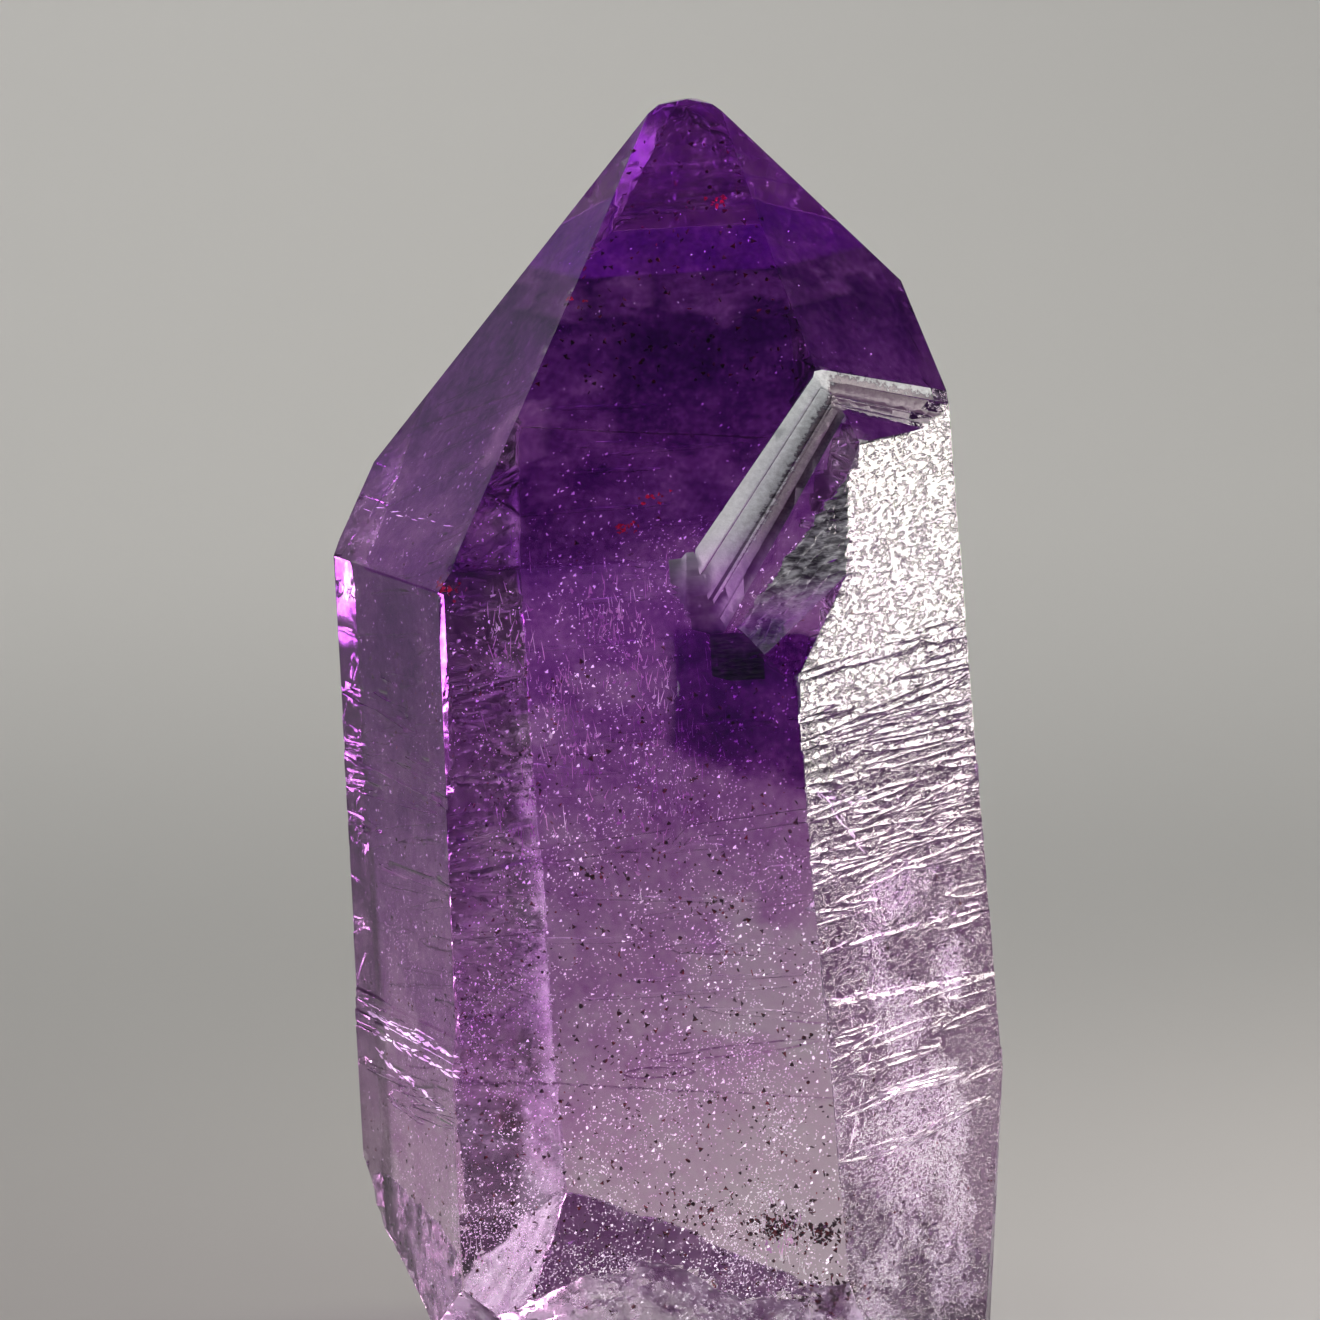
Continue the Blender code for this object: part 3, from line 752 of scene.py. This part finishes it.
# Painted glow: the bubbles give off white to pink light of their own, standing in for the light they
# catch.
bubble_painted_glow, tree, shader, grain = inclusion_material(
    "fluid_bubbles", ((0.4, (0.92, 0.80, 0.94)), (0.6, (0.98, 0.96, 0.98))),
    scale=1.4, detail=2.0, roughness=0.5, glow=1.5,
)
shader.inputs["Roughness"].default_value = 0.12
add_piece("fluid_bubbles", bm, bubble_painted_glow)

# Healed cracks. Old fractures in the quartz that grew together again, seen edge on as
# chains of slivers just under the left and right prism faces, bright with a painted glow.

rng = random.Random(53)


def hair(bm, start, direction, length, width, rng):
    """Thin three-sided sliver that tapers at both ends."""
    side = direction.orthogonal().normalized()
    side.rotate(Matrix.Rotation(rng.uniform(0, math.tau), 3, direction))
    other = direction.cross(side)
    bend = Vector((rng.gauss(0, 0.05), rng.gauss(0, 0.05), 0.0)) * length
    rings = []
    for share, grow in ((0.25, 1.0), (0.6, 0.8)):
        middle = start + direction * length * share + bend * share
        ring = []
        for angle in (0.0, math.tau / 3.0, 2.0 * math.tau / 3.0):
            local = (side * math.cos(angle) + other * math.sin(angle)) * width * 0.5 * grow
            ring.append(bm.verts.new((middle + local) * MM))
        rings.append(ring)
    low = bm.verts.new(start * MM)
    high = bm.verts.new((start + direction * length + bend) * MM)
    for a in range(3):
        b = (a + 1) % 3
        bm.faces.new((low, rings[0][b], rings[0][a]))
        bm.faces.new((rings[0][a], rings[0][b], rings[1][b], rings[1][a]))
        bm.faces.new((rings[1][a], rings[1][b], high))


# Cracks: both ends, number of slivers and their width.
CRACK_LINES = (
    (Vector((-15.6, -3.0, 18.6)), Vector((-9.3, -14.0, 18.4)), 34, 0.22),
    (Vector((-15.1, -3.9, 16.9)), Vector((-10.6, -11.8, 15.4)), 20, 0.18),
    (Vector((-15.2, -3.6, 17.8)), Vector((-9.8, -13.0, 17.4)), 22, 0.16),
    (Vector((-14.3, -0.6, 43.7)), Vector((-7.9, -11.2, 44.2)), 8, 0.06),
    (Vector((9.3, -13.2, 31.1)), Vector((11.0, -10.0, 27.3)), 9, 0.07),
    (Vector((9.6, -12.8, 30.4)), Vector((11.2, -9.6, 29.4)), 6, 0.06),
    (Vector((9.3, -13.2, 20.2)), Vector((15.6, -2.2, 19.2)), 12, 0.08),
    (Vector((9.2, -13.3, 22.8)), Vector((15.8, -1.8, 22.6)), 12, 0.08),
    (Vector((9.4, -13.0, 12.0)), Vector((11.0, -10.0, 18.0)), 9, 0.07),
)
CRACK_DEPTH = 0.45
CRACK_MARGIN = 0.05

bm = bmesh.new()
for first, last, pieces, width in CRACK_LINES:
    for piece in range(pieces):
        share = (piece + rng.uniform(-0.3, 0.3)) / pieces
        start = first.lerp(last, min(0.97, max(0.0, share)))
        start += Vector((0.0, 0.05, rng.gauss(0.0, 0.10)))
        way = ((last - first).normalized() + Vector((0.0, 0.0, rng.gauss(0.0, 0.08)))).normalized()
        length = rng.uniform(0.5, 1.5)
        start += Vector((-start.x, -start.y, 0.0)).normalized() * CRACK_DEPTH
        if inside(start, CRACK_MARGIN) and inside(start + way * length, CRACK_MARGIN):
            hair(bm, start, way, length, width * rng.uniform(0.5, 1.2), rng)
# Painted glint: the slivers give off light of their own, standing in for glints off the cracks.
crack_painted_glow, tree, shader, grain = inclusion_material(
    "crack_painted_glint", ((0.40, (0.80, 0.62, 0.80)), (0.55, (0.98, 0.95, 0.97))),
    scale=1.1, detail=1.0, roughness=0.5, glow=2.4,
)
shader.inputs["Roughness"].default_value = 0.2
add_piece("healed_cracks", bm, crack_painted_glow)

# Growth tubes. Fine upright hairs and crinkles behind the upper half of the front face,
# hollow tubes left by growth, whose pink and white flashes are a painted glow.

rng = random.Random(59)
TUBES = 60
bm = bmesh.new()
tube_count = 0
while tube_count < TUBES:
    start = Vector((rng.gauss(-0.5, 3.2), rng.uniform(-13.5, -10.0), rng.uniform(29.0, 44.0)))
    direction = Vector((rng.gauss(0.0, 0.10), rng.gauss(0.0, 0.06), 1.0)).normalized()
    length = 0.25 + 1.5 * rng.random() ** 2.0
    bunch = noise.noise(start * 0.4)
    if bunch > 0.12 and inside(start, 0.15) and inside(start + direction * length, 0.15):
        hair(bm, start, direction, length, rng.uniform(0.02, 0.05), rng)
        tube_count += 1
# Crinkles, each a small plate and often a hair: centre, spread and number.
CRINKLES = (
    (Vector((-3.2, -13.0, 36.2)), 0.6, 60),
    (Vector((-0.2, -13.0, 39.6)), 0.9, 90),
    (Vector((1.4, -13.0, 37.4)), 0.7, 60),
    (Vector((-2.4, -13.0, 33.2)), 0.8, 60),
    (Vector((2.6, -13.0, 33.6)), 1.1, 80),
    (Vector((-5.4, -13.0, 39.0)), 0.8, 50),
    (Vector((0.6, -13.0, 30.0)), 1.6, 70),
    (Vector((-4.6, -13.0, 30.6)), 1.2, 40),
    (Vector((-11.8, -7.2, 47.5)), 1.8, 40),
    (Vector((4.8, -13.1, 37.2)), 0.30, 12),
    (Vector((-9.4, -12.9, 8.2)), 0.5, 26),
    (Vector((6.4, -13.0, 8.0)), 0.8, 60),
)
CRINKLE_THICKNESS = 0.02
CRINKLE_SIDES = 5
for centre, spread, count in CRINKLES:
    for _ in range(count):
        place = centre + Vector((rng.gauss(0, spread), rng.gauss(0, 0.25), rng.gauss(0, 1.3 * spread)))
        if not inside(place, 0.12):
            continue
        platelet(bm, place, 0.06 + 0.34 * rng.random() ** 3.0, CRINKLE_THICKNESS, CRINKLE_SIDES, rng)
        lean = Vector((rng.gauss(0.0, 0.22), rng.gauss(0.0, 0.08), 1.0)).normalized()
        length = 0.15 + 0.8 * rng.random() ** 2.0
        if inside(place + lean * length, 0.12):
            hair(bm, place, lean, length, rng.uniform(0.03, 0.06), rng)
# Painted glow: the tubes and crinkles give off pink and white light, standing in for flashes off them.
growth_painted_glow, tree, shader, grain = inclusion_material("growth_painted_flash", (
    (0.38, (0.42, 0.16, 0.46)), (0.52, (0.80, 0.50, 0.74)), (0.66, (0.98, 0.94, 0.96)),
), scale=0.5, detail=1.0, roughness=0.5, glow=0.55)
shader.inputs["Roughness"].default_value = 0.2
add_piece("growth_tubes", bm, growth_painted_glow)

# Veils. Wisps of minute fluid pockets along healed cracks, white to lilac with a painted
# glow, that hang inside the crystal, denser toward the root and along the right face.

rng = random.Random(61)
# Veils: centre, half of their width and of their height, bend, and pockets tried.
VEILS = (
    (Vector((-1.0, -9.5, 12.0)), Vector((8.5, 0.6, 1.0)), Vector((0.5, 1.2, 11.0)), 1.0, 6200),
    (Vector((5.0, -8.0, 18.0)), Vector((5.0, 2.5, -1.0)), Vector((-0.6, -1.0, 10.0)), 0.9, 4200),
    (Vector((-3.0, -2.0, 13.0)), Vector((9.0, -2.0, 1.0)), Vector((1.0, 2.0, 12.0)), 0.8, 2500),
    (Vector((11.8, -7.4, 14.0)), Vector((2.4, 4.6, 0.9)), Vector((0.3, 0.4, 12.0)), 0.4, 30000),
    (Vector((-10.0, -5.0, 13.0)), Vector((-3.0, 5.6, 0.0)), Vector((-0.4, 0.4, 11.0)), 0.6, 2200),
    (Vector((0.0, 7.0, 17.0)), Vector((9.0, 1.5, 2.0)), Vector((0.6, 0.8, 14.0)), 0.9, 2600),
    (Vector((-1.0, -9.0, 34.0)), Vector((6.5, 1.5, 1.5)), Vector((-0.5, 2.0, 7.0)), 0.8, 2600),
    (Vector((-1.0, -12.2, 6.6)), Vector((9.0, 0.2, 0.0)), Vector((0.0, 0.2, 4.2)), 0.4, 9500),
)

bm = bmesh.new()
for centre, half_across, half_up, bend, count in VEILS:
    out = half_across.cross(half_up).normalized()
    seed = centre.length
    for _ in range(count):
        u = rng.uniform(-1.0, 1.0)
        v = rng.uniform(-1.0, 1.0)
        wave = noise.noise(Vector((u * 1.3, v * 1.3, seed))) * 2.0
        place = centre + half_across * u + half_up * v + out * (bend * wave + rng.gauss(0.0, 0.25))
        wisp = noise.noise(place * 0.28) + 0.5 * noise.noise(place * 0.9)
        if wisp + 0.25 > 0.45 * rng.random() and inside(place, 0.15):
            bubble(bm, place, rng.uniform(0.034, 0.072), rng)
# Painted glow: the veil pockets give off white to lilac light of their own, standing in for light they
# catch.
veil_painted_glow, tree, shader, grain = inclusion_material(
    "healed_veils", ((0.4, (0.86, 0.74, 0.88)), (0.6, (0.97, 0.92, 0.96))),
    scale=0.4, detail=1.0, roughness=0.6, glow=1.0,
)
shader.inputs["Roughness"].default_value = 0.5
add_piece("healed_veils", bm, veil_painted_glow)

# Stage. A pale paper floor that sweeps up into a wall, soft light all round, and one bright
# softbox standing low on the right that the striated face mirrors. A panel lights the wall
# from above, and two small ones stand close by on the right and far behind on the left.

SWEEP_NEAR = -0.45
SWEEP_STEPS = 12
SWEEP_BACK = 0.49
SWEEP_RADIUS = 0.22
SWEEP_TOP = 0.75
SWEEP_HALF = 0.9
bm = bmesh.new()
profile = [(SWEEP_NEAR, 0.0), (-0.1, 0.0), (SWEEP_BACK - SWEEP_RADIUS, 0.0)]
for step in range(1, SWEEP_STEPS + 1):
    angle = math.radians(90.0 * step / SWEEP_STEPS)
    reach = SWEEP_BACK - SWEEP_RADIUS + SWEEP_RADIUS * math.sin(angle)
    profile.append((reach, SWEEP_RADIUS * (1.0 - math.cos(angle))))
profile.append((SWEEP_BACK, SWEEP_TOP))
ends = [[bm.verts.new((x, y, z)) for y, z in profile] for x in (-SWEEP_HALF, SWEEP_HALF)]
for step in range(len(profile) - 1):
    face = bm.faces.new((ends[0][step], ends[1][step], ends[1][step + 1], ends[0][step + 1]))
    face.smooth = True
sweep_mesh = bpy.data.meshes.new("backdrop")
bm.to_mesh(sweep_mesh)
bm.free()
backdrop = bpy.data.objects.new("backdrop", sweep_mesh)
bpy.context.collection.objects.link(backdrop)
paper = bpy.data.materials.new("backdrop_paper")
paper.use_nodes = True
shader = paper.node_tree.nodes["Principled BSDF"]
shader.inputs["Base Color"].default_value = (0.70, 0.69, 0.67, 1.0)
shader.inputs["Roughness"].default_value = 0.9
shader.inputs["Specular IOR Level"].default_value = 0.1
sweep_mesh.materials.append(paper)

world = bpy.data.worlds.new("studio")
bpy.context.scene.world = world
world.use_nodes = True
tree = world.node_tree
place = add_node(tree, "ShaderNodeTexCoord")
split = add_node(tree, "ShaderNodeSeparateXYZ")
tree.links.new(place.outputs["Generated"], split.inputs[0])
leaning = math_node(tree, "MULTIPLY_ADD", split.outputs["X"], -0.25, split.outputs["Y"])
behind = smooth_step(tree, leaning, -0.35, 0.65)
sky = mix_colours(tree, behind, (0.045, 0.045, 0.045), (0.25, 0.25, 0.245))
tree.links.new(sky, tree.nodes["Background"].inputs["Color"])
tree.nodes["Background"].inputs["Strength"].default_value = 1.0


def area_light(name, place, toward, width, height, radiance, colour, spread=180.0):
    light = bpy.data.lights.new(name, "AREA")
    light.shape = "RECTANGLE"
    light.size = width
    light.size_y = height
    light.energy = radiance * math.pi * width * height
    light.color = colour
    light.spread = math.radians(spread)
    obj = bpy.data.objects.new(name, light)
    obj.location = place
    obj.rotation_euler = (Vector(place) - Vector(toward)).to_track_quat("Z", "Y").to_euler()
    bpy.context.collection.objects.link(obj)


KEY_DISTANCE = 0.19
KEY_WAY = Vector((0.9263, 0.3768, 0.0))
KEY_HEIGHT = 0.10
area_light(
    "key_softbox", KEY_WAY * KEY_DISTANCE + Vector((0.0, 0.0, 0.5 * KEY_HEIGHT)), (0.0, 0.0, 0.05),
    width=0.09, height=KEY_HEIGHT, radiance=3.3, colour=(1.0, 0.91, 0.87), spread=70.0,
)
area_light(
    "sky_panel", (-0.12, 0.30, 0.34), (-0.04, 0.37, 0.0),
    width=0.6, height=0.14, radiance=2.35, colour=(1.0, 0.99, 0.97), spread=140.0,
)
area_light(
    "right_panel", (0.062, -0.027, 0.05), (0.0, 0.0, 0.04),
    width=0.05, height=0.10, radiance=1.3, colour=(0.98, 0.97, 1.0),
)
area_light(
    "left_panel", (-0.303, 0.300, 0.18), (0.0, 0.0, 0.05),
    width=0.16, height=0.16, radiance=0.20, colour=(1.0, 1.0, 1.0),
)

# The camera's distance and the width of its frame at the crystal, in millimetres.
CAMERA_DISTANCE = 420.0
FRAME_WIDTH = 66.0
SENSOR_WIDTH = 36.0
CAMERA_AZIMUTH = math.radians(7.81)
CAMERA_ELEVATION = math.radians(9.48)
CAMERA_ROLL = math.radians(4.11)
back = Vector((
    math.sin(CAMERA_AZIMUTH) * math.cos(CAMERA_ELEVATION),
    -math.cos(CAMERA_AZIMUTH) * math.cos(CAMERA_ELEVATION),
    math.sin(CAMERA_ELEVATION),
))
level_right = Vector((math.cos(CAMERA_AZIMUTH), math.sin(CAMERA_AZIMUTH), 0.0))
level_up = back.cross(level_right)
right = level_right * math.cos(CAMERA_ROLL) - level_up * math.sin(CAMERA_ROLL)
up = level_up * math.cos(CAMERA_ROLL) + level_right * math.sin(CAMERA_ROLL)
lens = bpy.data.cameras.new("camera")
lens.sensor_width = SENSOR_WIDTH
lens.lens = SENSOR_WIDTH * CAMERA_DISTANCE / FRAME_WIDTH
lens.clip_start = 0.01
camera = bpy.data.objects.new("camera", lens)
turn = Matrix((right, up, back)).transposed().to_4x4()
turn.translation = (CENTRE + back * CAMERA_DISTANCE) * MM
camera.matrix_world = turn
bpy.context.collection.objects.link(camera)
bpy.context.scene.camera = camera

bpy.context.scene.view_settings.view_transform = "Standard"
bpy.context.scene.cycles.max_bounces = 8
bpy.context.scene.cycles.diffuse_bounces = 2
bpy.context.scene.cycles.transmission_bounces = 8
bpy.context.scene.cycles.caustics_reflective = False
bpy.context.scene.cycles.caustics_refractive = False
bpy.context.scene.cycles.use_light_tree = False
